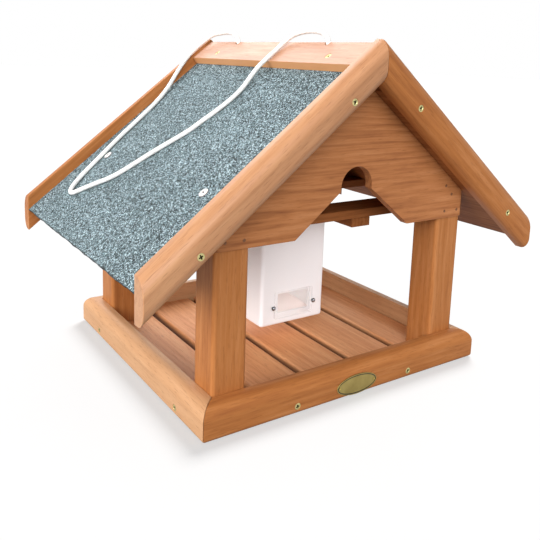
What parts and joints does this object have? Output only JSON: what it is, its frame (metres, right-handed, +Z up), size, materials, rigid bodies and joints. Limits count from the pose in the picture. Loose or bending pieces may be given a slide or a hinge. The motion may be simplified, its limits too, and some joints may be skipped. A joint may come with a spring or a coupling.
{
  "type": "tray bird feeder",
  "caption": "Wooden tray bird feeder with slatted floor, felted gable roof with lift-up ridge, hanging cord and a white seed silo with clear slide gates.",
  "frame": {"origin": "centre of the underside of the tray", "axes": "+Z up; -Y towards the front with the badge; +X to the right along the wide roof span"},
  "size_m": [0.476, 0.354, 0.3644],
  "materials": {
    "tray_wood": "satin",
    "pale_wood": "satin",
    "roof_felt": "rough mineral granules",
    "yellow_zinc": "yellow zinc",
    "steel": "bright",
    "white_paint": "satin",
    "badge_brass": "satin",
    "white_cord": "braided",
    "silo_plastic": "satin",
    "clear_gate": "polished"
  },
  "bodies": {
    "house": {"tray_board_front": "tray_wood", "tray_board_right": "tray_wood", "tray_board_back": "tray_wood", "tray_board_left": "tray_wood", "floor_slat_1": "pale_wood", "floor_slat_2": "pale_wood", "floor_slat_3": "pale_wood", "floor_slat_4": "pale_wood", "floor_slat_5": "pale_wood", "tray_screws": "yellow_zinc", "badge": "badge_brass", "badge_pins": "badge_brass", "post_front_left": "tray_wood", "post_front_right": "tray_wood", "post_back_left": "tray_wood", "post_back_right": "tray_wood", "post_screws": "yellow_zinc", "gable_front": "tray_wood", "gable_back": "tray_wood", "gable_nails": "steel", "roof_panel_left": "pale_wood", "roof_panel_right": "pale_wood", "felt_left": "roof_felt", "felt_right": "roof_felt", "felt_screws": "white_paint", "barge_front_left": "tray_wood", "barge_front_right": "tray_wood", "barge_back_left": "tray_wood", "barge_back_right": "tray_wood", "barge_screws": "yellow_zinc", "hanger_bar_front": "tray_wood", "hanger_bar_back": "tray_wood", "cord_tail_front": "white_cord", "cord_tail_back": "white_cord", "cord_knots": "white_cord", "cross_board_front": "pale_wood", "cross_board_back": "pale_wood", "silo_rail_left": "pale_wood", "silo_rail_right": "pale_wood", "collar_screws": "yellow_zinc", "silo_body": "silo_plastic", "silo_deflector": "silo_plastic", "gate_screws": "steel"},
    "ridge_lid": {"ridge_board_left": "pale_wood", "ridge_board_right": "pale_wood", "lid_key_front": "tray_wood", "lid_key_back": "tray_wood", "ridge_screws": "yellow_zinc", "hanging_cord": "white_cord"},
    "gate_front": {"gate_front": "clear_gate"},
    "gate_back": {"gate_back": "clear_gate"}
  },
  "joints": [
    {"name": "lid_lift", "type": "slide", "parent": "house", "child": "ridge_lid", "axis": [0, 0, 1], "range_m": [0, 0.05]},
    {"name": "gate_front_slide", "type": "slide", "parent": "house", "child": "gate_front", "axis": [0, 0, 1], "range_m": [0, 0.013]},
    {"name": "gate_back_slide", "type": "slide", "parent": "house", "child": "gate_back", "axis": [0, 0, 1], "range_m": [0, 0.013]}
  ]
}
